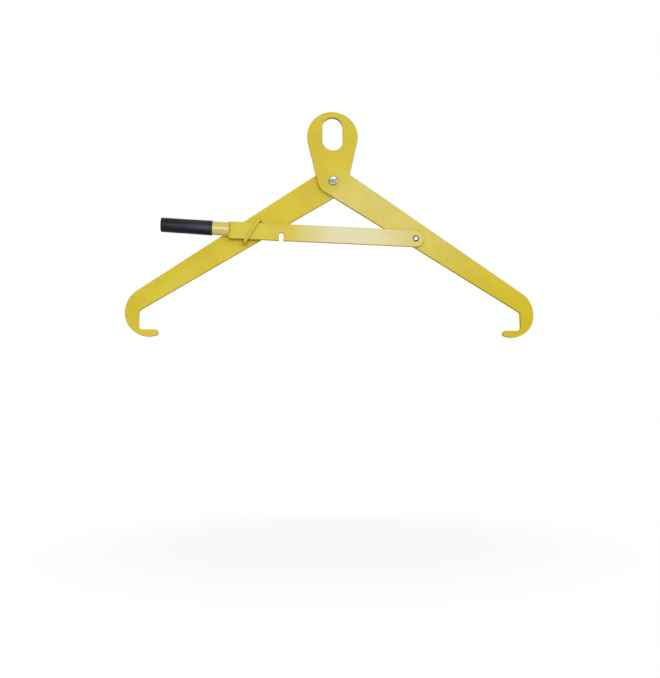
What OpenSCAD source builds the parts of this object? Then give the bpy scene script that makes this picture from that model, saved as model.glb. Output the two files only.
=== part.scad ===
// Drum lifter: two flat hooked arms on one pivot bolt, a lifting eye cut in one piece with
// the front arm, and a latch bar with a tube handle that slides through a keeper on the
// rear arm. Millimetres. X runs across the arms, Y from front to rear, Z up.
// The origin is the centre of the round top of the eye's slot, in the front plate's mid plane.

/* [Arms] */
// Thickness of both arm plates
plate_t = 10; // [8:0.5:14]
// Angle of each arm's centre line below level
arm_angle = 33.1; // [30:0.1:37]
// Width of an arm at the pivot
arm_root_w = 73; // [68:0.5:76]
// Width of an arm where its hook begins
arm_tip_w = 47; // [42:0.5:54]
// Reach from the pivot to a hook's outer face
arm_reach = 503.5; // [470:0.5:540]

/* [Hooks] */
// Width of the finger that points down
finger_w = 33.5; // [28:0.5:40]
// Radius of the shoulder where the arm turns down
shoulder_r = 64.5; // [58:0.5:76]
// Radius of the claw's back
claw_r = 57; // [52:0.5:60]
// Radius in the upper corner of the throat
throat_r = 12; // [6:0.5:16]
// Radius in the lower corner of the throat
seat_r = 10; // [6:0.5:12]
// Radius of the toe's tip
toe_r = 7; // [5:0.5:8]
// How far the toe's tip stands inside the claw's centre
toe_in = 16; // [10:0.5:20]

/* [Lifting eye] */
// Radius of the eye plate
eye_r = 64; // [60:0.5:70]
// Height of the eye plate's centre above the pivot
eye_rise = 114; // [108:1:130]
// Width of the slot for the hook
slot_w = 52; // [40:1:56]
// Height of the slot
slot_h = 87; // [70:1:88]
// Metal left above the slot
crown_h = 14; // [12:0.5:20]
// Width of the eye's neck where it meets the arms
neck_w = 77; // [74:0.5:84]
// Radius where the eye's neck meets the arm
neck_r = 6; // [4:0.5:12]

/* [Pivot] */
// Distance of the pivot bolt below the middle of the arms' rounded ends
pivot_low = 3; // [0:0.5:8]
// Diameter of the pivot bolt
pivot_d = 14; // [12:0.5:18]
// Thickness of the spacer between the two plates
spacer_t = 3; // [2:0.5:5]
// Diameter of that spacer
spacer_d = 46; // [36:1:56]

/* [Latch bar] */
// Distance from the pivot to the latch bolt, along the front arm
latch_u = 253.5; // [244:0.5:262]
// Distance of the latch bolt below the front arm's centre line
latch_v = 13; // [9:0.5:15]
// Diameter of the latch bolt
latch_d = 10; // [8:0.5:12]
// Thickness of the spacer behind the bar
latch_gap = 3; // [2:0.5:5]
// Width of the bar
bar_w = 41.5; // [36:0.5:42.5]
// Thickness of the bar
bar_t = 8; // [6:0.5:10]
// Length of bar from the keeper's middle to the handle tube
bar_past = 56; // [48:1:80]
// Length of bar from the locking notch to the keeper's middle
notch_past = 71.5; // [50:0.5:90]
// Width of the notch
notch_w = 11; // [10.5:0.5:14]
// Depth of the notch
notch_h = 20.5; // [14:0.5:22]

/* [Handle] */
// Diameter of the handle tube
tube_d = 33; // [30:0.5:34]
// Wall of the handle tube
tube_wall = 2.5; // [2:0.1:3]
// Bare length of tube before the grip
tube_bare = 39.5; // [30:0.5:60]
// Length of the grip
grip_len = 123.5; // [100:0.5:140]
// Thickness of the grip's wall
grip_wall = 1.8; // [1.5:0.1:2]
// How far the tube's start stands above the bar's middle
handle_up = 2.2; // [0:0.1:3]
// Angle of the handle above the bar's line
handle_tilt = 1.1; // [0:0.1:2]

/* [Keeper] */
// Distance from the pivot to the keeper, along the rear arm
keeper_u = 243; // [236:1:248]
// Distance of the keeper's middle below the rear arm's centre line
keeper_v = 5.5; // [2:0.5:7]
// Spacing of the keeper's legs
keeper_span = 65.5; // [65:0.5:70]
// Angle of the keeper above level
keeper_lean = 58; // [56:0.5:64]
// Diameter of the keeper's round bar
keeper_d = 9; // [8:0.5:10]
// Room between the bar's face and the keeper
keeper_room = 3; // [2:0.5:6]

/* [Fits] */
// Radial clearance of the two turning fits
run_fit = 0.05; // [0.02:0.01:0.1]
// Radial clearance of washers on their bolts
washer_fit = 0.5; // [0.3:0.1:1]

/* [Hidden] */
$fn = 96;
eps = 0.01;
// Arcs stand this far past the straight edges that they run into
blend = 0.1;
yellow = [0.84, 0.76, 0.20];
zinc = [0.74, 0.78, 0.80];
black = [0.09, 0.09, 0.10];
nylon = [0.30, 0.42, 0.62];

// Levels along Y, from the front plate's mid plane to the rear
front_y = -plate_t / 2;
back_y = plate_t / 2;
rear_y = back_y + spacer_t;
rear_back_y = rear_y + plate_t;
bar_back_y = front_y - latch_gap;
bar_y = bar_back_y - bar_t / 2;
bar_front_y = bar_back_y - bar_t;
bridge_y = bar_front_y - keeper_room - keeper_d / 2;

// The eye and the pivot
pivot_drop = eye_rise + eye_r - crown_h - slot_w / 2;
root_r = arm_root_w / 2;
neck_a = asin((eye_r - neck_w / 2) / eye_rise);
pivot_p = [0, -pivot_low];

// The arm's edges are tangents of the pivot end, and close in towards the hook
hook_u = arm_reach / cos(arm_angle) * 0.845;
taper = asin(root_r / norm([hook_u, arm_tip_w / 2])) - atan(arm_tip_w / 2 / hook_u);
up_a = arm_angle + taper;
low_a = arm_angle - taper;
up_n = [sin(up_a), cos(up_a)];
low_n = [-sin(low_a), -cos(low_a)];
neck_n = [cos(neck_a), -sin(neck_a)];
neck_left_n = [-neck_n[0], neck_n[1]];

// Where two edges meet, each given by its normal and its distance from [0, 0]
function meet(n1, d1, n2, d2) =
    [d1 * n2[1] - d2 * n1[1], d2 * n1[0] - d1 * n2[0]] / (n1[0] * n2[1] - n1[1] * n2[0]);

// The heel of the front plate rounds off the neck's left side into the arm's lower edge
heel = meet(neck_left_n, neck_w / 2 - root_r, low_n, 0);

// The hook, in the plane of the arm, with the pivot at [0, 0]
inner_x = arm_reach - finger_w;
inner_z = -(root_r + inner_x * sin(low_a)) / cos(low_a);
corner_z = (root_r - arm_reach * sin(up_a)) / cos(up_a);
shoulder = [
    arm_reach - shoulder_r,
    (root_r - shoulder_r - (arm_reach - shoulder_r) * sin(up_a)) / cos(up_a)
];
claw = [arm_reach - claw_r, shoulder[1] - 1.5];
toe = claw - [toe_in, sqrt(pow(claw_r - toe_r, 2) - pow(toe_in, 2))];
toe_dir = (toe - claw) / norm(toe - claw);
seat_z = toe[1] + toe_r;

// The latch bar runs from the latch bolt through the middle of the keeper
latch_p = latch_u * [cos(arm_angle), -sin(arm_angle)]
    - latch_v * [sin(arm_angle), cos(arm_angle)];
keeper_p = keeper_u * [-cos(arm_angle), -sin(arm_angle)]
    + keeper_v * [sin(arm_angle), -cos(arm_angle)];
bar_a = atan2(keeper_p[1] - latch_p[1], keeper_p[0] - latch_p[0]);
keeper_far = norm(keeper_p - latch_p);
bar_len = keeper_far + bar_past;
notch_u = keeper_far - notch_past;
tang_w = 0.66 * (tube_d - 2 * tube_wall);
tang_len = 36;
grip_end = 3;
tube_len = tube_bare + grip_len - grip_end;

// Fasteners, in proportion to their bolts
pivot_af = 1.5 * pivot_d;
pivot_head = 0.62 * pivot_d;
pivot_nut = 1.05 * pivot_d;
pivot_washer = 0.19 * pivot_d;
latch_af = 1.7 * latch_d;
latch_proud = 0.4 * latch_d;
latch_ring_d = 1.55 * latch_d;
latch_ring_t = 0.2 * latch_d;
latch_nut = 1.0 * latch_d;
latch_washer = 0.2 * latch_d;

// Puts a flat shape drawn in X and Z at the pivot into the world, from y0 back to y0 + t
module at_pivot(y0, t) {
    translate([0, y0 + t, -pivot_drop])
        rotate([90, 0, 0])
            children();
}

// A disc in the flat drawing
module disc(p, r, t) {
    translate([p[0], p[1], 0])
        cylinder(h = t, r = r);
}

// A straight sided plate in the flat drawing
module slab(points, t) {
    linear_extrude(t)
        polygon(points);
}

// Takes the sharp corner between the edges with normals n1 and n2 outside a disc
module corner_cut(centre, r, n1, n2, t) {
    mid = (n1 + n2) / norm(n1 + n2);
    translate([0, 0, -1])
        difference() {
            slab([centre, centre + 1.2 * r * n1, centre + 1.5 * r * mid, centre + 1.2 * r * n2], t + 2);
            translate([0, 0, -1])
                disc(centre, r + blend, t + 4);
        }
}

// Fills the inner corner between the edges with normals n1 and n2, from a point in the plate
module corner_fill(centre, r, n1, n2, inside, t) {
    difference() {
        slab([inside, centre - (r + 1) * n1, centre, centre - (r + 1) * n2], t);
        translate([0, 0, -1])
            disc(centre, r + blend, t + 2);
    }
}

// Turns a part built along +Z so that it runs along +Y from y0, at a place in the flat drawing
module along_y(p, y0) {
    translate([p[0], y0, p[1] - pivot_drop])
        rotate([-90, 0, 0])
            children();
}

// Puts a part of the latch bar in place: its length runs along +X from the latch bolt,
// its front faces +Z, and +Y is its lower edge
module on_bar() {
    translate([latch_p[0], bar_y, latch_p[1] - pivot_drop])
        rotate([90, 0, 0])
            rotate([0, 0, bar_a])
                children();
}

// Puts a part of the handle in place: it runs along +X from the end of the bar
module on_handle() {
    on_bar()
        translate([bar_len + tube_d / 2 * sin(handle_tilt), -handle_up, 0])
            rotate([0, 0, -handle_tilt])
                children();
}

// The claw below the finger: a disc cut open for the throat, ending in a rounded toe
module claw_plate(t) {
    difference() {
        intersection() {
            disc(claw, claw_r, t);
            slab([
                claw,
                claw + 2 * claw_r * toe_dir,
                claw + 2 * claw_r * [1, -1.2],
                claw + [2 * claw_r, 0]
            ], t);
        }
        translate([inner_x - claw_r * 2, seat_z, -1])
            cube([claw_r * 2, claw[1] - seat_z + 1, t + 2]);
    }
    disc(toe, toe_r + blend, t);
    corner_fill([inner_x - seat_r, seat_z + seat_r], seat_r, [-1, 0], [0, 1],
        [inner_x + toe_r, seat_z - toe_r], t);
}

// One arm with its hook, pointing right, without holes
module arm_plate(t) {
    throat_t = throat_r / tan((90 + low_a) / 2);
    throat = [inner_x - throat_r, inner_z - throat_t];
    disc([0, 0], root_r + blend, t);
    difference() {
        slab([
            root_r * up_n,
            [arm_reach, corner_z],
            [arm_reach, claw[1]],
            [inner_x, claw[1]],
            [inner_x, inner_z],
            root_r * low_n
        ], t);
        corner_cut(shoulder, shoulder_r, up_n, [1, 0], t);
    }
    corner_fill(throat, throat_r, low_n, [-1, 0], [inner_x + throat_r, inner_z + throat_r], t);
    claw_plate(t);
}

// The eye and its neck, in one piece with the front arm
module eye_plate(t) {
    fillet = meet(neck_n, neck_w / 2 + neck_r, up_n, root_r + neck_r);
    disc([0, eye_rise], eye_r + blend, t);
    disc(heel, root_r + blend, t);
    slab([
        neck_w / 2 * neck_n,
        [0, eye_rise] + eye_r * neck_n,
        [0, eye_rise] + eye_r * neck_left_n,
        heel + root_r * neck_left_n,
        heel + root_r * low_n,
        root_r * low_n
    ], t);
    corner_fill(fillet, neck_r, neck_n, up_n, [0, 0], t);
}

// The slot that takes the lifting hook
module eye_slot(t) {
    top = [0, pivot_drop];
    low = [0, pivot_drop - slot_h + slot_w];
    translate([0, 0, -1]) {
        disc(top, slot_w / 2, t + 2);
        disc(low, slot_w / 2, t + 2);
        translate([blend - slot_w / 2, low[1], 0])
            cube([slot_w - 2 * blend, slot_h - slot_w, t + 2]);
    }
}

// A hexagon with chamfered ends, one corner to each side
module hex_block(af, h) {
    corner_r = af / sqrt(3);
    cone = (corner_r - 0.47 * af) * tan(30);
    intersection() {
        cylinder(h = h, r = corner_r, $fn = 6);
        union() {
            cylinder(h = cone, r1 = 0.47 * af, r2 = corner_r);
            translate([0, 0, cone])
                cylinder(h = h - cone, r = corner_r + eps);
        }
    }
}

// A flat ring
module ring(d_out, d_in, t) {
    difference() {
        cylinder(h = t, d = d_out);
        translate([0, 0, -1])
            cylinder(h = t + 2, d = d_in);
    }
}

// A lock nut: a hexagon, a round collar and the seat of the insert in it
module lock_nut(af, d, h) {
    difference() {
        union() {
            hex_block(af, 0.68 * h);
            cylinder(h = h, d = 0.92 * af);
        }
        translate([0, 0, -1])
            cylinder(h = h + 2, d = d + 2 * run_fit);
        translate([0, 0, 0.74 * h])
            cylinder(h = 0.18 * h, d = 0.8 * af);
        translate([0, 0, 0.74 * h])
            cylinder(h = h, d = 0.68 * af);
    }
}

// The insert that grips the bolt's end
module nut_insert(af, d, h) {
    translate([0, 0, 0.74 * h])
        ring(0.8 * af, d + 2 * run_fit, 0.18 * h);
}

// A fillet weld round a leg that stands on a plate
module weld_ring(d, leg) {
    rotate_extrude()
        difference() {
            translate([d / 2, 0])
                square(leg);
            translate([d / 2 + 1.35 * leg, 1.35 * leg])
                circle(r = 1.35 * leg - 0.25);
            translate([d / 2, 0.92 * leg])
                square(leg);
            translate([d / 2 + 0.92 * leg, -eps])
                square(leg);
        }
}

module right_arm() {
    color(yellow)
        difference() {
            at_pivot(front_y, plate_t)
                difference() {
                    union() {
                        arm_plate(plate_t);
                        eye_plate(plate_t);
                    }
                    eye_slot(plate_t);
                }
            along_y(pivot_p, front_y - 1)
                cylinder(h = plate_t + 2, d = pivot_d + 2 * run_fit);
            along_y(latch_p, front_y - 1)
                cylinder(h = plate_t + 2, d = latch_d + 2 * run_fit);
        }
}

module left_arm() {
    color(yellow)
        difference() {
            at_pivot(rear_y, plate_t)
                mirror([1, 0, 0])
                    arm_plate(plate_t);
            along_y(pivot_p, rear_y - 1)
                cylinder(h = plate_t + 2, d = pivot_d + 2 * run_fit);
        }
}

module pivot_bolt() {
    nut_y = rear_back_y + pivot_washer;
    color(zinc)
        union() {
            along_y(pivot_p, front_y - pivot_head)
                hex_block(pivot_af, pivot_head);
            along_y(pivot_p, front_y - eps)
                cylinder(h = nut_y + pivot_nut + 2 - front_y, d = pivot_d);
            along_y(pivot_p, nut_y + pivot_nut + 2 - 2 * eps)
                cylinder(h = 1.5, d1 = pivot_d, d2 = pivot_d - 3);
        }
}

module pivot_spacer() {
    color(zinc)
        along_y(pivot_p, back_y)
            ring(spacer_d, pivot_d + 2 * run_fit, spacer_t);
}

module pivot_washer() {
    color(zinc)
        along_y(pivot_p, rear_back_y)
            ring(1.88 * pivot_d, pivot_d + 2 * washer_fit, pivot_washer);
}

module pivot_nut() {
    color(zinc)
        along_y(pivot_p, rear_back_y + pivot_washer)
            lock_nut(pivot_af, pivot_d, pivot_nut);
}

module pivot_nut_insert() {
    color(nylon)
        along_y(pivot_p, rear_back_y + pivot_washer)
            nut_insert(pivot_af, pivot_d, pivot_nut);
}

module latch_bar() {
    color(yellow)
        on_bar()
            translate([0, 0, -bar_t / 2])
                difference() {
                    union() {
                        cylinder(h = bar_t, d = bar_w);
                        translate([0, -bar_w / 2, 0])
                            cube([bar_len, bar_w, bar_t]);
                        translate([bar_len - eps, -tang_w / 2, 0])
                            cube([tang_len, tang_w, bar_t]);
                    }
                    translate([0, 0, -1])
                        cylinder(h = bar_t + 2, d = latch_d + 2 * run_fit);
                    translate([notch_u, bar_w / 2 - notch_h + notch_w / 2, -1])
                        cylinder(h = bar_t + 2, d = notch_w);
                    translate([notch_u - notch_w / 2, bar_w / 2 - notch_h + notch_w / 2, -1])
                        cube([notch_w, notch_h, bar_t + 2]);
                }
}

module handle_tube() {
    color(yellow)
        on_handle()
            rotate([0, 90, 0])
                ring(tube_d, tube_d - 2 * tube_wall, tube_len);
}

// One of the two weld beads where the tube meets the bar
module handle_weld() {
    bead_r = 5;
    on_bar()
        difference() {
            translate([bar_len, -tube_d * 0.4, bar_t / 2])
                rotate([-90, 0, 0])
                    cylinder(h = tube_d * 0.8, r = bead_r);
            translate([bar_len - 2 * bead_r, -bar_w, -bar_t / 2])
                cube([2 * bead_r + tang_len, 2 * bar_w, bar_t]);
            translate([bar_len, -bar_w, 0])
                cube([2 * bead_r, 2 * bar_w, 2 * bead_r + bar_t]);
        }
}

module handle_weld_front() {
    color(yellow)
        handle_weld();
}

module handle_weld_rear() {
    color(yellow)
        translate([0, 2 * bar_y, 0])
            mirror([0, 1, 0])
                handle_weld();
}

module handle_grip() {
    color(black)
        on_handle()
            translate([tube_bare, 0, 0])
                rotate([0, 90, 0])
                    difference() {
                        cylinder(h = grip_len, d = tube_d + 2 * grip_wall);
                        translate([0, 0, -1])
                            cylinder(h = grip_len - grip_end + 1, d = tube_d);
                    }
}

module latch_bolt() {
    chamfer = 0.1 * latch_d;
    end_y = back_y + latch_washer + latch_nut + 2;
    color(zinc)
        union() {
            along_y(latch_p, bar_front_y - latch_proud)
                cylinder(h = chamfer, d1 = latch_d - 2 * chamfer, d2 = latch_d);
            along_y(latch_p, bar_front_y - latch_proud + chamfer - eps)
                cylinder(h = end_y - bar_front_y + latch_proud - chamfer, d = latch_d);
        }
}

module latch_ring() {
    color(black)
        along_y(latch_p, bar_front_y - latch_ring_t)
            ring(latch_ring_d, latch_d + 2 * run_fit, latch_ring_t);
}

module latch_spacer() {
    color(zinc)
        along_y(latch_p, bar_back_y)
            ring(2.1 * latch_d, latch_d + 2 * run_fit, latch_gap);
}

module latch_washer() {
    color(zinc)
        along_y(latch_p, back_y)
            ring(1.9 * latch_d, latch_d + 2 * washer_fit, latch_washer);
}

module latch_nut() {
    color(zinc)
        along_y(latch_p, back_y + latch_washer)
            lock_nut(latch_af, latch_d, latch_nut);
}

module latch_nut_insert() {
    color(nylon)
        along_y(latch_p, back_y + latch_washer)
            nut_insert(latch_af, latch_d, latch_nut);
}

// Puts the keeper's middle at the origin of its own frame: X along the bridge, Z to the front
module on_keeper() {
    translate([keeper_p[0], rear_y, keeper_p[1] - pivot_drop])
        rotate([90, 0, 0])
            rotate([0, 0, keeper_lean])
                children();
}

module keeper() {
    bend_r = keeper_d;
    rise = rear_y - bridge_y;
    color(yellow)
        on_keeper()
            union() {
                for (side = [0, 1])
                    mirror([side, 0, 0]) {
                        translate([keeper_span / 2, 0, 0])
                            cylinder(h = rise - bend_r, d = keeper_d);
                        translate([keeper_span / 2 - bend_r, 0, rise - bend_r])
                            rotate([90, 0, 0])
                                rotate_extrude(angle = 90)
                                    translate([bend_r, 0])
                                        circle(d = keeper_d);
                        translate([0, 0, rise])
                            rotate([0, 90, 0])
                                cylinder(h = keeper_span / 2 - bend_r, d = keeper_d);
                    }
            }
}

module keeper_weld_upper() {
    color(yellow)
        on_keeper()
            translate([keeper_span / 2, 0, 0])
                weld_ring(keeper_d, 4);
}

module keeper_weld_lower() {
    color(yellow)
        on_keeper()
            translate([-keeper_span / 2, 0, 0])
                weld_ring(keeper_d, 4);
}

right_arm();
left_arm();
pivot_bolt();
pivot_spacer();
pivot_washer();
pivot_nut();
pivot_nut_insert();
latch_bar();
handle_tube();
handle_weld_front();
handle_weld_rear();
handle_grip();
latch_bolt();
latch_ring();
latch_spacer();
latch_washer();
latch_nut();
latch_nut_insert();
keeper();
keeper_weld_upper();
keeper_weld_lower();
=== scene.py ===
"""Looks of the drum lifter: enamel, zinc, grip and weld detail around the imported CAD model."""

import math

import bmesh
import bpy
from mathutils import Matrix, Vector


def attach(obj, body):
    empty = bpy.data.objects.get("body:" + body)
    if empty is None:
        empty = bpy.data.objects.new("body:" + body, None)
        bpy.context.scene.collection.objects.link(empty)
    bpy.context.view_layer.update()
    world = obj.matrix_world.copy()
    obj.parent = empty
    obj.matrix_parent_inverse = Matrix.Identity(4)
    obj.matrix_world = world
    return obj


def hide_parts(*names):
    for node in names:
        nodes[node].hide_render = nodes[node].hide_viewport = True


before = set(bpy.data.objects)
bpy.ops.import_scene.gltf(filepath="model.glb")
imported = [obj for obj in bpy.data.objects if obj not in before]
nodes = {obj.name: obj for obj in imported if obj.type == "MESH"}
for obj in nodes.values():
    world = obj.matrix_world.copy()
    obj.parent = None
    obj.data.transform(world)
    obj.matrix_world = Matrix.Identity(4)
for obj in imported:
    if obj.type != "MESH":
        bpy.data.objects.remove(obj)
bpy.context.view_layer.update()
scene = bpy.context.scene

# Directions in the part frame
RIGHT = Vector((1.0, 0.0, 0.0))
REAR = Vector((0.0, 1.0, 0.0))
FRONT = Vector((0.0, -1.0, 0.0))

# Places and sizes of the solids in the part frame, in metres
PIVOT = Vector((0.0, 0.0, -0.141))
LATCH = Vector((0.205262, -0.012, -0.287327))
ARM_HALF_T = 0.005
ARM_ANGLE = math.radians(-33.1)
ARM_DIR = Vector((math.cos(ARM_ANGLE), 0.0, math.sin(ARM_ANGLE)))
ARM_UP = Vector((-math.sin(ARM_ANGLE), 0.0, math.cos(ARM_ANGLE)))
BAR_ANGLE = math.radians(178.304)
BAR_DIR = Vector((math.cos(BAR_ANGLE), 0.0, math.sin(BAR_ANGLE)))
BAR_UP = Vector((math.sin(BAR_ANGLE), 0.0, -math.cos(BAR_ANGLE)))
BAR_LENGTH = 0.462002
BAR_HALF_T = 0.004
TUBE_R = 0.0165
HANDLE_UP = 0.0022
HANDLE_TILT = math.radians(1.1)
HANDLE_DIR = BAR_DIR * math.cos(HANDLE_TILT) + BAR_UP * math.sin(HANDLE_TILT)
HANDLE_ACROSS = BAR_UP * math.cos(HANDLE_TILT) - BAR_DIR * math.sin(HANDLE_TILT)
HANDLE_START = (
    LATCH + BAR_DIR * (BAR_LENGTH + TUBE_R * math.sin(HANDLE_TILT)) + BAR_UP * HANDLE_UP
)
GRIP_START = 0.0395
GRIP_LENGTH = 0.1235
KEEPER = Vector((-0.200562, 0.008, -0.275310))
KEEPER_LEAN = math.radians(58)
KEEPER_DIR = Vector((math.cos(KEEPER_LEAN), 0.0, math.sin(KEEPER_LEAN)))
KEEPER_HALF = 0.03275
KEEPER_R = 0.0045
SLOT_R = 0.026
SEAT_Z = -0.516354

# Linear colours
YELLOW = (0.645, 0.512, 0.010, 1)
YELLOW_DEEP = (0.600, 0.458, 0.006, 1)
# Pale yellow of worn paint, and of the painted sheen on the bar and the upper right arm
YELLOW_WORN_AND_SHEEN = (0.730, 0.690, 0.450, 1)
YELLOW_HANDLED = (0.650, 0.545, 0.170, 1)
# Painted shade on the rounded corners of the plates, the bar and the tube
EDGE_SHADE = (0.360, 0.290, 0.040, 1)
STEEL = (0.330, 0.320, 0.300, 1)
DIRT = (0.300, 0.225, 0.050, 1)
ZINC = (0.370, 0.410, 0.390, 1)
ZINC_DARK = (0.150, 0.182, 0.178, 1)
BRIGHT = (0.620, 0.570, 0.400, 1)
BRIGHT_DARK = (0.450, 0.410, 0.290, 1)
BLACK = (0.003, 0.004, 0.006, 1)
# Dusty black, which also paints the grip's highlight band
BLACK_DUST_AND_HIGHLIGHT = (0.056, 0.070, 0.092, 1)
BLUED = (0.055, 0.050, 0.040, 1)
BLUED_WORN = (0.140, 0.130, 0.105, 1)
NYLON = (0.080, 0.150, 0.350, 1)
NYLON_PALE = (0.110, 0.190, 0.420, 1)
WHITE = (1, 1, 1, 1)
FLOOR_GREY = (0.42, 0.42, 0.42, 1)

# Specular level of the enamel, by kind
SHINE = {"plate": 0.28, "bar": 0.28, "edge": 0.12, "tube": 0.40, "rod": 0.12, "round": 0.08}
# Lowest and highest roughness of the enamel, by kind
PLAIN_GLOSS = (0.33, 0.42)
GLOSS = {
    "plate": PLAIN_GLOSS,
    "bar": PLAIN_GLOSS,
    "edge": PLAIN_GLOSS,
    "tube": (0.22, 0.32),
    "rod": (0.45, 0.55),
    "round": (0.50, 0.62),
}
SIDE_ROUGHNESS = 0.95
# Lowest and highest share of handled paint, by kind
HANDLED = {"tube": (0.55, 0.95), "rod": (0.15, 0.40)}
# The pale stretch of the bar, by distance from the latch stud: rubbed paint, and a painted sheen
PALE_STARTS, PALE_FULL, PALE_FADES, PALE_ENDS = -0.03, 0.15, 0.19, 0.335
PALE_AT_STUD, PALE_AT_HANDLE = 0.33, 0.07
FINE_BUMP = 0.0001


class Graph:
    """A material's node tree with one Principled shader."""

    def __init__(self, name):
        self.material = bpy.data.materials.new(name)
        self.material.use_nodes = True
        self.tree = self.material.node_tree
        self.shader = self.tree.nodes["Principled BSDF"]
        spot = self.add("ShaderNodeTexCoord")
        self.place = spot.outputs["Object"]
        self.normal = spot.outputs["Normal"]

    def add(self, kind, **values):
        """Adds a node. A value that names a property sets it, any other goes to an input."""
        node = self.tree.nodes.new(kind)
        for key, value in values.items():
            if hasattr(node, key):
                setattr(node, key, value)
        for key, value in values.items():
            if not hasattr(node, key):
                self.put(node.inputs[key.replace("_", " ")], value)
        return node

    def put(self, socket, value):
        """Links a socket to an output, or sets it to a plain value."""
        if isinstance(value, bpy.types.NodeSocket):
            self.tree.links.new(value, socket)
        else:
            socket.default_value = value

    def vector(self, operation, a, b):
        made = self.add("ShaderNodeVectorMath", operation=operation)
        self.put(made.inputs[0], a)
        self.put(made.inputs[1], b)
        return made.outputs["Value" if operation in ("DOT_PRODUCT", "DISTANCE") else "Vector"]

    def number(self, operation, a, b=0.0):
        made = self.add("ShaderNodeMath", operation=operation)
        self.put(made.inputs[0], a)
        self.put(made.inputs[1], b)
        return made.outputs[0]

    def times(self, a, b):
        return self.number("MULTIPLY", a, b)

    def part(self, vector, axis):
        """One coordinate of a vector."""
        return self.add("ShaderNodeSeparateXYZ", Vector=vector).outputs[axis]

    def noise(self, scale, detail=2.0, stretch=None):
        """Grey noise in the part frame. stretch scales each axis before the pattern."""
        place = self.vector("MULTIPLY", self.place, stretch) if stretch else self.place
        made = self.add("ShaderNodeTexNoise", Vector=place, Scale=scale, Detail=detail)
        return made.outputs["Fac"]

    def ramp(self, value, low, high, to_low=0.0, to_high=1.0):
        """Takes low to to_low and high to to_high, with a smooth step between."""
        made = self.add("ShaderNodeMapRange", interpolation_type="SMOOTHSTEP")
        for socket, setting in zip(made.inputs, (value, low, high, to_low, to_high)):
            self.put(socket, setting)
        return made.outputs[0]

    def clouds(self, scale, detail, least, most):
        """Noise that covers the whole span from least to most."""
        return self.ramp(self.noise(scale, detail), 0.3, 0.7, least, most)

    def along(self, direction, origin):
        """Distance along a direction from a place in the part frame."""
        return self.vector("DOT_PRODUCT", self.vector("SUBTRACT", self.place, origin), direction)

    def blend(self, share, a, b):
        """Colour a, with a share of colour b."""
        made = self.add("ShaderNodeMix", data_type="RGBA")
        self.put(made.inputs[0], share)
        self.put(made.inputs[6], a)
        self.put(made.inputs[7], b)
        return made.outputs[2]

    def bump(self, height, distance, strength, after=None):
        made = self.add("ShaderNodeBump", Height=height, Distance=distance, Strength=strength)
        if after:
            self.put(made.inputs["Normal"], after)
        return made.outputs[0]

    def finish(self, **sockets):
        """Fills the shader's sockets and gives the material."""
        for key, value in sockets.items():
            self.put(self.shader.inputs[key.replace("_", " ")], value)
        return self.material


def cut_side(g):
    """1 on the cut edges of a plate that lies across Y, 0 on its faces."""
    return g.ramp(g.number("ABSOLUTE", g.part(g.normal, "Y")), 0.5, 0.8, 1.0, 0.0)


def base_paint(g):
    """Yellow that drifts a little in tone, with specks of dirt."""
    drift = g.ramp(g.noise(11, 4), 0.35, 0.70)
    specks = g.ramp(g.noise(260, 5), 0.64, 0.78, 0.0, 0.30)
    return g.blend(specks, g.blend(drift, YELLOW, YELLOW_DEEP), DIRT)


def handle_paint(g, colour, least, most):
    """Paint that hands or the bar have polished pale."""
    share = g.ramp(g.noise(60, 5), 0.2, 0.6, least, most)
    return g.blend(share, colour, YELLOW_HANDLED)


def rub_and_sheen_bar(g, colour):
    """Paint rubbed pale in streaks, and scratched, between the latch stud and the notch. The pale
    stretch is also a painted sheen, brightest a little way along from the stud.
    """
    u = g.along(BAR_DIR, LATCH)
    zone = g.times(
        g.ramp(u, PALE_STARTS, PALE_FULL, PALE_AT_STUD, 1.0),
        g.ramp(u, PALE_FADES, PALE_ENDS, 1.0, PALE_AT_HANDLE),
    )
    streaks = g.ramp(g.noise(38, 6, (0.35, 6.0, 12.0)), 0.25, 0.75, 0.70, 1.0)
    # Rubbed paint and painted sheen: the bar pales towards a peak partway along
    colour = g.blend(g.times(zone, streaks), colour, YELLOW_WORN_AND_SHEEN)
    scratches = g.ramp(g.noise(90, 3, (0.05, 3.0, 9.0)), 0.66, 0.74, 0.0, 0.35)
    return g.blend(g.times(scratches, zone), colour, STEEL)


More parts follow.
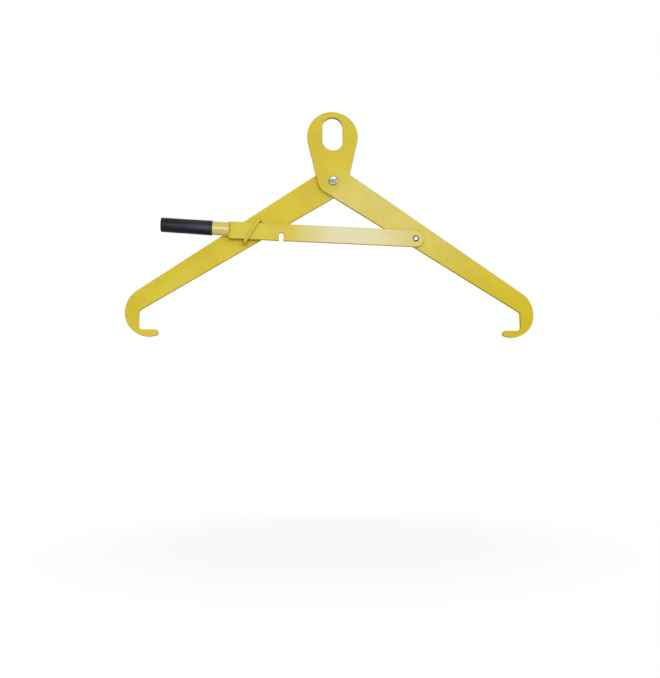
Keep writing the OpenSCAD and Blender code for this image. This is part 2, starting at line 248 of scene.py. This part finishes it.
def wear_and_sheen_plate(g, colour, side):
    """Bare steel where the hoist hook and the drum's rims bear, scuffs, and a painted sheen: paler
    paint along the upper right arm, and a little paler higher up round the eye.
    """
    z = g.part(g.place, "Z")
    from_eye = g.vector("DISTANCE", g.place, (0, 0, 0))
    round_slot = g.ramp(from_eye, SLOT_R + 0.003, SLOT_R + 0.007, 1.0, 0.0)
    slot_top = g.times(round_slot, g.ramp(z, 0.004, 0.018))
    from_seat = g.number("ABSOLUTE", g.number("SUBTRACT", z, SEAT_Z))
    seat = g.ramp(from_seat, 0.001, 0.006, 1.0, 0.0)
    worn = g.times(g.number("MAXIMUM", slot_top, seat), g.ramp(g.noise(120, 6), 0.40, 0.52))
    colour = g.blend(g.times(worn, side), colour, STEEL)
    scuffs = g.ramp(g.noise(75, 4, (0.25, 1.0, 2.5)), 0.68, 0.78, 0.0, 0.25)
    colour = g.blend(scuffs, colour, YELLOW_WORN_AND_SHEEN)
    # Painted sheen: paler along the middle of the upper right arm, and a little paler higher up
    # round the eye
    u, v = g.along(ARM_DIR, PIVOT), g.along(ARM_UP, PIVOT)
    lengthwise = g.times(g.ramp(u, -0.03, 0.07), g.ramp(u, 0.07, 0.54, 0.23, 0.0))
    arm = g.times(lengthwise, g.ramp(g.number("ABSOLUTE", v), 0.030, 0.065, 1.0, 0.0))
    # rubbed is the share of painted sheen
    rubbed = g.number("ADD", arm, g.ramp(z, -0.32, -0.10, 0.0, 0.06))
    uneven = g.ramp(g.noise(30, 5), 0.25, 0.75, 0.75, 1.2)
    return g.blend(g.times(rubbed, uneven), colour, YELLOW_WORN_AND_SHEEN)


def wear_and_shade_edge(g, colour):
    """Painted shade darkening a plate's rounded corners in patches, chipped to the steel here and
    there.
    """
    chips = g.ramp(g.noise(150, 6), 0.60, 0.68)
    # Painted shade on the corners, in patches, with chips to the steel
    return g.blend(chips, g.blend(g.clouds(60, 4, 0.15, 0.5), colour, EDGE_SHADE), STEEL)


def enamel(name, kind):
    """Yellow enamel on steel: a little mottled, orange-peeled, dirty and scuffed.

    kind: plate (with a painted sheen on the upper right arm), bar (rubbed pale between the latch
    stud and the notch, with a painted sheen), edge (corners of a plate, darkened with painted
    shade and chipped), tube (handled, paler and glossier), rod (the keeper, rubbed by the bar),
    round (welds).
    """
    g = Graph(name)
    colour = base_paint(g)
    gloss = g.clouds(45, 5, *GLOSS[kind])
    normal = g.bump(g.noise(520), FINE_BUMP, 0.30)
    if kind in HANDLED:
        colour = handle_paint(g, colour, *HANDLED[kind])
    if kind in ("plate", "bar", "edge"):
        side = cut_side(g)
        if kind == "plate":
            colour = wear_and_sheen_plate(g, colour, side)
        elif kind == "bar":
            colour = rub_and_sheen_bar(g, colour)
        else:
            colour = wear_and_shade_edge(g, colour)
        # The paint on the cut sides is thin, dull and follows the marks of the cut
        cut_marks = g.times(g.noise(700, 3, (1.0, 0.05, 1.0)), side)
        normal = g.bump(cut_marks, 0.0004, 0.5, normal)
        gloss = g.number("MAXIMUM", gloss, g.times(side, SIDE_ROUGHNESS))
    return g.finish(
        Base_Color=colour, Roughness=gloss, Normal=normal, Specular_IOR_Level=SHINE[kind]
    )


def plated(name, light, dark):
    """Zinc plate or bare steel, clouded and scuffed."""
    g = Graph(name)
    colour = g.blend(g.ramp(g.noise(260, 5), 0.38, 0.66), light, dark)
    gloss = g.clouds(350, 4, 0.28, 0.48)
    normal = g.bump(g.noise(900, 3), FINE_BUMP, 0.3)
    return g.finish(Base_Color=colour, Roughness=gloss, Normal=normal, Metallic=1.0)


def blackened(name):
    """Blackened spring steel, rubbed a little."""
    g = Graph(name)
    colour = g.blend(g.ramp(g.noise(420, 4), 0.45, 0.70), BLUED, BLUED_WORN)
    gloss = g.clouds(350, 4, 0.35, 0.5)
    normal = g.bump(g.noise(1200), FINE_BUMP, 0.3)
    return g.finish(Base_Color=colour, Roughness=gloss, Normal=normal, Specular_IOR_Level=0.3)


def vinyl(name):
    """Satin black grip with dusty pores, most near the mouth, and a painted highlight: paler in a
    band low on the sides and on top, and black below."""
    g = Graph(name)
    u = g.along(HANDLE_DIR, HANDLE_START)
    rise = g.part(g.normal, "Z")
    patches = g.ramp(g.noise(190, 6), 0.20, 0.80, 0.35, 1.0)
    lengthwise = g.ramp(u, 0.05, 0.16, 1.0, 0.20)
    # Painted highlight: a pale band low on the sides, a paler top, and black below
    sides = g.times(g.ramp(rise, -0.75, -0.35), g.ramp(rise, -0.15, 0.35, 1.0, 0.45))
    around = g.number("MAXIMUM", sides, g.ramp(rise, 0.60, 0.95))
    dust_and_highlight = g.times(g.times(patches, lengthwise), around)
    gloss = g.clouds(140, 5, 0.32, 0.42)
    pores = g.bump(g.noise(1100), FINE_BUMP, 0.45)
    normal = g.bump(g.noise(55, 3), 0.0006, 0.25, pores)
    return g.finish(
        Base_Color=g.blend(dust_and_highlight, BLACK, BLACK_DUST_AND_HIGHLIGHT),
        Roughness=gloss,
        Normal=normal,
        Specular_IOR_Level=0.14,
    )


def plastic(name):
    """Moulded nylon."""
    g = Graph(name)
    colour = g.blend(g.noise(300, 3), NYLON, NYLON_PALE)
    normal = g.bump(g.noise(900), FINE_BUMP, 0.3)
    return g.finish(Base_Color=colour, Roughness=0.45, Normal=normal)


paint = enamel("yellow_enamel", "plate")
paint_edge = enamel("yellow_enamel_edge", "edge")
paint_bar = enamel("yellow_enamel_rubbed_and_sheen", "bar")
paint_tube = enamel("yellow_enamel_handled", "tube")
paint_rod = enamel("yellow_enamel_rod", "rod")
paint_round = enamel("yellow_enamel_round", "round")
zinc = plated("zinc_plate", ZINC, ZINC_DARK)
bright_steel = plated("bright_steel", BRIGHT, BRIGHT_DARK)
black_steel = blackened("black_steel")
grip_vinyl = vinyl("grip_vinyl")
nylon = plastic("nylon")

# Roundings of the CAD nodes' edges, and what counts as an edge
PLATE_ROUNDING = 0.0008
TUBE_ROUNDING = 0.0004
SMALL_ROUNDING = 0.0003
INSERT_ROUNDING = 0.0002
EDGE_ANGLE = math.radians(35)
FLAT_ANGLE = math.radians(0.2)
JOIN_DISTANCE = 1e-6


def dress(name, material, width, edge=None):
    """Gives a CAD node its material and a small rounding along its sharp edges."""
    piece = nodes[name]
    piece.data.materials.clear()
    piece.data.materials.append(material)
    piece.data.materials.append(edge or material)
    join = piece.modifiers.new("join", "WELD")
    join.merge_threshold = JOIN_DISTANCE
    flatten = piece.modifiers.new("flatten", "DECIMATE")
    flatten.decimate_type = "DISSOLVE"
    flatten.angle_limit = FLAT_ANGLE
    rounding = piece.modifiers.new("rounding", "BEVEL")
    rounding.width = width
    rounding.segments = 2
    rounding.limit_method = "ANGLE"
    rounding.angle_limit = EDGE_ANGLE
    rounding.material = 1
    normals = piece.modifiers.new("normals", "WEIGHTED_NORMAL")
    normals.keep_sharp = False
    normals.weight = 80


for name in ("right_arm", "left_arm"):
    dress(name, paint, PLATE_ROUNDING, paint_edge)
dress("latch_bar", paint_bar, PLATE_ROUNDING, paint_edge)
dress("handle_tube", paint_tube, TUBE_ROUNDING, paint_edge)
dress("keeper", paint_rod, SMALL_ROUNDING)
for name in (
    "pivot_spacer", "pivot_washer", "pivot_nut", "latch_spacer", "latch_washer", "latch_nut",
):
    dress(name, zinc, SMALL_ROUNDING)
dress("latch_ring", black_steel, SMALL_ROUNDING)
for name in ("pivot_nut_insert", "latch_nut_insert"):
    dress(name, nylon, INSERT_ROUNDING)

# Edges of the scene's own pieces that stay sharp
SHARP = math.radians(32)
# Radius at which a turned piece closes on its axis
TINY = 0.00005


def piece_from_rows(name, rows, material, body, node, wrap=False):
    """A smooth closed piece from rows of points: each row is a loop.

    wrap joins the last row to the first, and otherwise both end rows are closed by faces. The
    piece stands for a CAD node, or for none.
    """
    bm = bmesh.new()
    made = [[bm.verts.new(point) for point in row] for row in rows]
    for a, b in zip(made, made[1:] + made[:1] if wrap else made[1:]):
        for i in range(len(a)):
            j = (i + 1) % len(a)
            bm.faces.new((a[i], a[j], b[j], b[i]))
    if not wrap:
        bm.faces.new(made[0])
        bm.faces.new(made[-1])
    bmesh.ops.remove_doubles(bm, verts=bm.verts, dist=1e-7)
    bmesh.ops.recalc_face_normals(bm, faces=bm.faces)
    for face in bm.faces:
        face.smooth = True
    for edge in bm.edges:
        if edge.is_manifold and edge.calc_face_angle() > SHARP:
            edge.smooth = False
    mesh = bpy.data.meshes.new(name)
    bm.to_mesh(mesh)
    bm.free()
    mesh.materials.append(material)
    piece = bpy.data.objects.new(name, mesh)
    scene.collection.objects.link(piece)
    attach(piece, body)
    if node:
        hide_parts(node)


def turned(origin, axis, across, profile, count):
    """Rows of a turned shape. A profile point is a distance along the axis and a radius, and
    either may be a function of the angle."""
    third = axis.cross(across)
    rows = []
    for u, r in profile:
        row = []
        for i in range(count):
            angle = 2 * math.pi * i / count
            radius = r(angle) if callable(r) else r
            height = u(angle) if callable(u) else u
            side = across * math.cos(angle) + third * math.sin(angle)
            row.append(origin + axis * height + side * radius)
        rows.append(row)
    return rows


def thread(radius, pitch, depth, start, end, steps):
    """Profile points of a screw thread with a flat root that runs out at a chamfer."""
    root_flat = 1.25  # above 1, the bottom of the groove is flat
    points = []
    for i in range(steps + 1):
        u = start + (end - start) * i / steps

        def at(angle, u=u):
            turn = (u / pitch - angle / (2 * math.pi)) % 1.0
            cut = depth * min(1.0, root_flat * (1.0 - abs(2.0 * turn - 1.0)))
            return min(radius - cut, radius - max(0.0, u - (end - depth)))

        points.append((u, at))
    return points


BOLT_COLUMNS = 72

# The pivot bolt: a hexagon head with a shallow forged dish, and the threaded end past its nut
PIVOT_BOLT_R = 0.007
PIVOT_AF = 0.021
PIVOT_FACE_R = 0.47 * PIVOT_AF
PIVOT_HEAD = 0.00868
PIVOT_DISH = 0.0005
PIVOT_BREAK = 0.0002
PIVOT_END = 0.05252
PIVOT_THREAD = 0.0085
PIVOT_PITCH = 0.002
PIVOT_THREAD_DEPTH = 0.0011


def hexagon(angle):
    """Distance from the axis to a hexagon's side, with a corner at angle 0."""
    return PIVOT_AF / 2 / math.cos(angle % (math.pi / 3) - math.pi / 6)


def chamfer(angle):
    """How far back the 30 degree chamfer of the head's face ends."""
    return (hexagon(angle) - PIVOT_FACE_R) * math.tan(math.radians(30))


bolt_profile = [
    # The head's dish, face and chamfer
    (PIVOT_DISH, TINY),
    (PIVOT_DISH, 0.29 * PIVOT_AF),
    (0.0003, 0.32 * PIVOT_AF),
    (0.0000, 0.35 * PIVOT_AF),
    (0.0000, 0.46 * PIVOT_AF),
    (0.0001, PIVOT_FACE_R),
    (chamfer, hexagon),
    (lambda angle: chamfer(angle) + 0.0003, hexagon),
    # Its sides and underside, and the shank
    (PIVOT_HEAD - PIVOT_BREAK, hexagon),
    (PIVOT_HEAD, lambda angle: hexagon(angle) - PIVOT_BREAK),
    (PIVOT_HEAD, PIVOT_BOLT_R),
    (PIVOT_END - PIVOT_THREAD - 0.001, PIVOT_BOLT_R),
]
bolt_profile += thread(
    PIVOT_BOLT_R, PIVOT_PITCH, PIVOT_THREAD_DEPTH, PIVOT_END - PIVOT_THREAD, PIVOT_END, 40
)
bolt_profile.append((PIVOT_END, TINY))
bolt_front = Vector((PIVOT.x, -ARM_HALF_T - PIVOT_HEAD, PIVOT.z))
piece_from_rows(
    "pivot_bolt_turned", turned(bolt_front, REAR, RIGHT, bolt_profile, BOLT_COLUMNS),
    zinc, "right_arm", "pivot_bolt",
)

# The latch stud: a plain chamfered end with a centre mark, and a threaded end past its nut
STUD_R = 0.005
STUD_FRONT_Y = -0.020
STUD_END = 0.039
STUD_THREAD = 0.006
STUD_PITCH = 0.0015
STUD_THREAD_DEPTH = 0.0008
stud_profile = [
    (0.0007, TINY),
    (0.0000, 0.0011),
    (0.0000, STUD_R - 0.0006),
    (0.0001, STUD_R - 0.0004),
    (0.0007, STUD_R - 0.0001),
    (0.0010, STUD_R),
    (STUD_END - STUD_THREAD - 0.0005, STUD_R),
]
stud_profile += thread(
    STUD_R, STUD_PITCH, STUD_THREAD_DEPTH, STUD_END - STUD_THREAD, STUD_END, 36
)
stud_profile.append((STUD_END, TINY))
stud_front = Vector((LATCH.x, STUD_FRONT_Y, LATCH.z))
piece_from_rows(
    "latch_bolt_turned", turned(stud_front, REAR, RIGHT, stud_profile, BOLT_COLUMNS),
    bright_steel, "right_arm", "latch_bolt",
)

# The grip: a sleeve on the tube, with a lip at its mouth and shallow ribs round its middle
GRIP_WIDE, GRIP_NARROW = 0.01805, 0.01735
GRIP_BORE_R = TUBE_R + 0.00002
GRIP_BORE_END = GRIP_LENGTH - 0.003
GRIP_LIP_R = 0.01830
GRIP_LIP_END = 0.0044
GRIP_END_R = 0.0016
GRIP_BODY_END = GRIP_LENGTH - GRIP_END_R - 0.0003
GRIP_COLUMNS = 96
RIBS = 9
RIBS_START, RIBS_END = 0.044, 0.080
RIB_DEPTH = 0.00035


def grip_body(u):
    """Radius of the grip's taper."""
    share = (u - GRIP_LIP_END) / (GRIP_BODY_END - GRIP_LIP_END)
    return GRIP_WIDE + (GRIP_NARROW - GRIP_WIDE) * share


def grip_stretch(start, end, steps=6):
    """Profile points of a plain stretch of the taper, without its first."""
    places = [start + (end - start) * i / steps for i in range(1, steps + 1)]
    return [(u, grip_body(u)) for u in places]


def grip_ribs():
    """Profile points of the ribs: the taper with shallow grooves."""
    steps = RIBS * 8
    points = []
    for i in range(1, steps + 1):
        u = RIBS_START + (RIBS_END - RIBS_START) * i / steps
        wave = 0.5 - 0.5 * math.cos(2 * math.pi * RIBS * i / steps)
        points.append((u, grip_body(u) - RIB_DEPTH * wave ** 2))
    return points


def grip_round(steps=8):
    """Profile points of the rounding at the closed end."""
    points = []
    for i in range(1, steps + 1):
        turn = math.pi / 2 * i / steps
        inward = GRIP_END_R * (1 - math.cos(turn))
        points.append((GRIP_BODY_END + GRIP_END_R * math.sin(turn), GRIP_NARROW - inward))
    return points


grip_profile = [
    # The bore, from its bottom to the mouth
    (GRIP_BORE_END, TINY),
    (GRIP_BORE_END, GRIP_BORE_R),
    (0.0015, GRIP_BORE_R),
    # The lip
    (0.0000, 0.01665),
    (0.0000, 0.01770),
    (0.0003, 0.01810),
    (0.0010, GRIP_LIP_R),
    (0.0032, GRIP_LIP_R),
    (0.0039, 0.01818),
    (GRIP_LIP_END, GRIP_WIDE),
]
grip_profile += grip_stretch(GRIP_LIP_END, RIBS_START)
grip_profile += grip_ribs()
grip_profile += grip_stretch(RIBS_END, GRIP_BODY_END)
grip_profile += grip_round()
grip_profile += [
    # The closed end, with a small dimple
    (GRIP_LENGTH - 0.0002, 0.0090),
    (GRIP_LENGTH, 0.0060),
    (GRIP_LENGTH, 0.0030),
    (GRIP_LENGTH - 0.0006, 0.0022),
    (GRIP_LENGTH - 0.0008, TINY),
]
grip_start = HANDLE_START + HANDLE_DIR * GRIP_START
piece_from_rows(
    "grip_dipped", turned(grip_start, HANDLE_DIR, HANDLE_ACROSS, grip_profile, GRIP_COLUMNS),
    grip_vinyl, "latch", "handle_grip",
)

# The welds at the keeper's feet
FOOT_LEG = 0.0040
FOOT_RIPPLES = 11
FOOT_FLATTENED = 0.95
FOOT_INSIDE_R = KEEPER_R - 0.0008
FOOT_STEPS = 8
FOOT_COLUMNS = 152


def foot_weld(name, foot, node):
    """A rippled fillet round one leg of the keeper, where it stands on the rear arm."""

    def radius(share):
        def at(angle):
            drift = 2.4 * math.sin(2 * angle + 1.0) + 1.3 * math.sin(3 * angle + 0.4)
            ripple = math.sin(FOOT_RIPPLES * angle + drift + 2.4 * share)
            uneven = 1.0 + 0.09 * math.sin(2 * angle + 0.7) + 0.07 * math.sin(3 * angle)
            strength = 0.026 + 0.014 * math.sin(angle + 0.5)
            return KEEPER_R + FOOT_LEG * (1 - share) * (0.86 + strength * ripple) * uneven

        return at

    profile = [(0.0, FOOT_INSIDE_R)]
    for i in range(FOOT_STEPS + 1):
        share = i / FOOT_STEPS
        height = FOOT_LEG * (share + 0.16 * math.sin(math.pi * share))
        profile.append((max(0.0, height * FOOT_FLATTENED), radius(share)))
    profile.append((FOOT_LEG * FOOT_FLATTENED, FOOT_INSIDE_R))
    rows = turned(foot, FRONT, RIGHT, profile, FOOT_COLUMNS)
    piece_from_rows(name, rows, paint_round, "left_arm", node, wrap=True)


foot_weld("keeper_bead_upper", KEEPER + KEEPER_DIR * KEEPER_HALF, "keeper_weld_upper")
foot_weld("keeper_bead_lower", KEEPER - KEEPER_DIR * KEEPER_HALF, "keeper_weld_lower")

# The welds where the handle tube meets the bar
MOUTH_R = TUBE_R - 0.0006
MOUTH_LEG = 0.0036
MOUTH_LEAST = 0.0008
MOUTH_BACK = 0.0012
MOUTH_PITCH = 0.0027
MOUTH_ROWS, MOUTH_COLUMNS = 12, 48
SHOULDER_R = 0.0028
SHOULDER_HALF = 0.0052
SHOULDER_ROWS, SHOULDER_COLUMNS = 32, 20


def mouth_weld(name, out, node):
    """The weld that closes the tube's mouth above one face of the bar, laid from edge to edge."""
    rows = []
    for i in range(MOUTH_ROWS + 1):
        share = i / MOUTH_ROWS
        b = BAR_HALF_T - 0.0003 + (MOUTH_R - BAR_HALF_T - 0.0004) * share
        half = math.sqrt(MOUTH_R * MOUTH_R - b * b)
        leg = MOUTH_LEG * (1 - share) ** 1.4 + MOUTH_LEAST
        face, back = [], []
        for j in range(MOUTH_COLUMNS + 1):
            a = half * (2 * j / MOUTH_COLUMNS - 1)
            ends = 1.0 - 0.55 * (a / half) ** 6
            turn = a / MOUTH_PITCH + 0.25 * math.sin(a / 0.0035) - 0.45 * share
            depth = leg * ends * (1.0 + 0.045 * math.sin(2 * math.pi * turn))
            spot = LATCH + BAR_UP * (HANDLE_UP + a) + out * b
            face.append(spot + BAR_DIR * (BAR_LENGTH - depth))
            back.append(spot + BAR_DIR * (BAR_LENGTH + MOUTH_BACK))
        rows.append(face + back[::-1])
    piece_from_rows(name, rows, paint_bar, "latch", node)


def shoulder_weld(name, way):
    """A short bead in the corner between the bar's square end and the side of the tube."""
    corner = LATCH + BAR_DIR * (BAR_LENGTH + 0.0002) + BAR_UP * (HANDLE_UP + way * MOUTH_R)
    rows = []
    for i in range(SHOULDER_ROWS + 1):
        t = 2 * i / SHOULDER_ROWS - 1
        ripple = 1.0 + 0.03 * math.sin(7 * math.pi * t + t * t)
        size = 0.0001 + SHOULDER_R * math.sqrt(max(0.0, 1 - t ** 4)) * ripple
        centre = corner + FRONT * (SHOULDER_HALF * t)
        row = []
        for j in range(SHOULDER_COLUMNS):
            angle = 2 * math.pi * j / SHOULDER_COLUMNS
            outward = BAR_DIR * (size * math.cos(angle))
            upward = BAR_UP * (way * size * 0.95 * math.sin(angle))
            row.append(centre + outward + upward)
        rows.append(row)
    piece_from_rows(name, rows, paint_bar, "latch", None)


mouth_weld("handle_bead_front", FRONT, "handle_weld_front")
mouth_weld("handle_bead_rear", REAR, "handle_weld_rear")
shoulder_weld("handle_bead_top", 1)
shoulder_weld("handle_bead_bottom", -1)

# The studio: a pale floor far below the hanging lifter, white surroundings, soft lamps
FLOOR_Z = -1.02
FLOOR_R = 9.0
# The floor's share of plain white, from below the lifter to where it is all white
FADE_STARTS, FADE_ENDS = 0.15, 0.80
WHITE_BELOW, WHITE_AROUND = 0.88, 1.0
AMBIENT = 0.50
LAMP_AIM = Vector((0.0, 0.0, -0.25))


def fresh_tree(owner):
    """An empty node tree on a world or material."""
    owner.use_nodes = True
    owner.node_tree.nodes.clear()
    return owner.node_tree


def seen_directly(tree):
    """1 for camera, glossy and transmission rays."""
    rays = tree.nodes.new("ShaderNodeLightPath")
    most = rays.outputs["Is Camera Ray"]
    for other in ("Is Glossy Ray", "Is Transmission Ray"):
        either = tree.nodes.new("ShaderNodeMath")
        either.operation = "MAXIMUM"
        tree.links.new(most, either.inputs[0])
        tree.links.new(rays.outputs[other], either.inputs[1])
        most = either.outputs[0]
    return most


def mix_shaders(tree, share, first, second, surface):
    """Mixes two shader nodes by a share of the second, into the tree's surface."""
    mix = tree.nodes.new("ShaderNodeMixShader")
    tree.links.new(share, mix.inputs[0])
    tree.links.new(first.outputs[0], mix.inputs[1])
    tree.links.new(second.outputs[0], mix.inputs[2])
    tree.links.new(mix.outputs[0], surface)


def build_world():
    """Soft light on the object, and plain white for what is seen directly."""
    world = bpy.data.worlds.new("studio")
    scene.world = world
    tree = fresh_tree(world)
    out = tree.nodes.new("ShaderNodeOutputWorld")
    soft = tree.nodes.new("ShaderNodeBackground")
    seen = tree.nodes.new("ShaderNodeBackground")
    for background, strength in ((soft, AMBIENT), (seen, 1.0)):
        background.inputs["Color"].default_value = WHITE
        background.inputs["Strength"].default_value = strength
    mix_shaders(tree, seen_directly(tree), soft, seen, out.inputs["Surface"])


def floor_material():
    """Grey that carries the shadow, under a white that covers all of it further out."""
    material = bpy.data.materials.new("floor_white")
    tree = fresh_tree(material)
    out = tree.nodes.new("ShaderNodeOutputMaterial")
    plain = tree.nodes.new("ShaderNodeBsdfDiffuse")
    plain.inputs["Color"].default_value = FLOOR_GREY
    seen = tree.nodes.new("ShaderNodeEmission")
    seen.inputs["Strength"].default_value = 1.0
    spot = tree.nodes.new("ShaderNodeTexCoord")
    reach = tree.nodes.new("ShaderNodeVectorMath")
    reach.operation = "LENGTH"
    fade = tree.nodes.new("ShaderNodeMapRange")
    fade.interpolation_type = "SMOOTHSTEP"
    settings = (FADE_STARTS, FADE_ENDS, WHITE_BELOW, WHITE_AROUND)
    for socket, setting in zip(fade.inputs[1:5], settings):
        socket.default_value = setting
    share = tree.nodes.new("ShaderNodeMath")
    share.operation = "MULTIPLY"
    tree.links.new(spot.outputs["Object"], reach.inputs[0])
    tree.links.new(reach.outputs["Value"], fade.inputs[0])
    tree.links.new(fade.outputs[0], share.inputs[0])
    tree.links.new(seen_directly(tree), share.inputs[1])
    mix_shaders(tree, share.outputs[0], plain, seen, out.inputs["Surface"])
    return material


def build_floor():
    """A round floor that keeps the shadow below the lifter and fades to white around it."""
    mesh = bpy.data.meshes.new("floor")
    bm = bmesh.new()
    bmesh.ops.create_circle(bm, cap_ends=True, segments=96, radius=FLOOR_R)
    bm.to_mesh(mesh)
    bm.free()
    mesh.materials.append(floor_material())
    floor = bpy.data.objects.new("floor", mesh)
    floor.location.z = FLOOR_Z
    scene.collection.objects.link(floor)


def lamp(name, place, size, watts):
    """A round lamp that looks at the middle of the lifter."""
    data = bpy.data.lights.new(name, "AREA")
    data.shape = "DISK"
    data.size = size
    data.energy = watts
    obj = bpy.data.objects.new(name, data)
    obj.location = place
    obj.rotation_mode = "QUATERNION"
    obj.rotation_quaternion = (LAMP_AIM - Vector(place)).to_track_quat("-Z", "Y")
    scene.collection.objects.link(obj)


build_world()
build_floor()
lamp("key", (0.60, -1.95, 0.10), 0.5, 5)
lamp("front", (-0.20, -2.04, -0.46), 0.7, 21)
lamp("back", (0.9, 1.9, 0.9), 1.2, 40)

# The photograph's camera
FOCAL_PIXELS = 735
FRAME_PIXELS = 678
SENSOR = 36.0
CAMERA_PLACE = (-0.1791, -1.774, -0.7574)
CAMERA_YAW = math.radians(5.45)
CAMERA_PITCH = math.radians(7.0)
CAMERA_ROLL = math.radians(-0.387)
camera = bpy.data.cameras.new("camera")
camera.sensor_width = SENSOR
camera.lens = FOCAL_PIXELS / FRAME_PIXELS * SENSOR
eye = bpy.data.objects.new("camera", camera)
eye.matrix_world = (
    Matrix.Translation(CAMERA_PLACE)
    @ Matrix.Rotation(-CAMERA_YAW, 4, "Z")
    @ Matrix.Rotation(math.pi / 2 + CAMERA_PITCH, 4, "X")
    @ Matrix.Rotation(CAMERA_ROLL, 4, "Z")
)
scene.collection.objects.link(eye)
scene.camera = eye
scene.view_settings.view_transform = "Standard"
